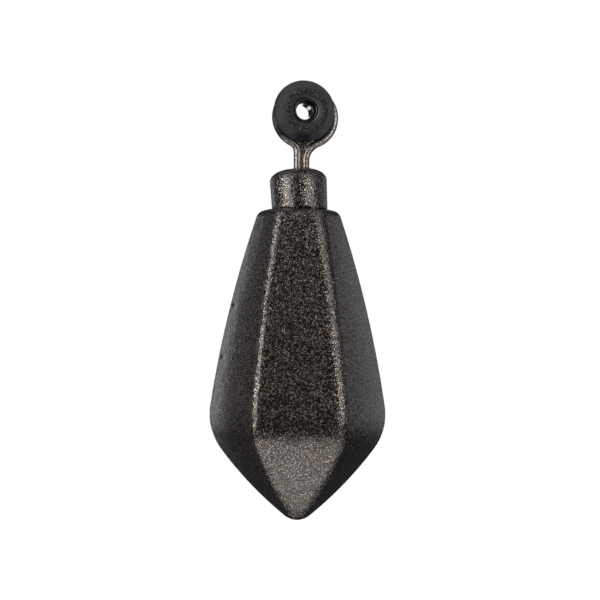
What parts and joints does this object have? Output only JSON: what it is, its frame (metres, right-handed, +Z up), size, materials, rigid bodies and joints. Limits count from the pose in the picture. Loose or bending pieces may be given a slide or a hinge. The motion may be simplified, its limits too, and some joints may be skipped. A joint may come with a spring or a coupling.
{
  "type": "plumb bob",
  "caption": "Hexagonal cast plumb weight with a blunt point, a short neck collar, and a bent wire eye, brazed shut, holding a lined grommet that the line runs through.",
  "frame": {"origin": "middle of the line eye's bore, where the line holds the bob up", "axes": "+Z up along the hanging line, so the blunt point is at -Z; -Y out of the weight's front flank; the bore runs close to Y, turned 9.2 degrees towards +X and tilted 3 degrees"},
  "size_m": [0.025, 0.022, 0.0625],
  "materials": {
    "flecked_coating": "brown-black hammer coat with fine bright metallic flecks, satin gloss",
    "bronze_wire": "darkened bronze, rubbed bright on the legs",
    "matte_black": "matte moulded black, finely pitted on the boss",
    "polished_black": "polished black"
  },
  "bodies": {
    "bob": {"weight_body": "flecked_coating", "neck_collar": "flecked_coating", "wire_eye": "bronze_wire"},
    "grommet": {"eye_grommet": "matte_black", "grommet_liner": "polished_black"}
  },
  "joints": [
    {"name": "grommet_spin", "type": "hinge", "parent": "bob", "child": "grommet", "pos_m": [0, 0, 0], "axis": [0.1597, -0.9858, 0.0523], "continuous": true}
  ]
}
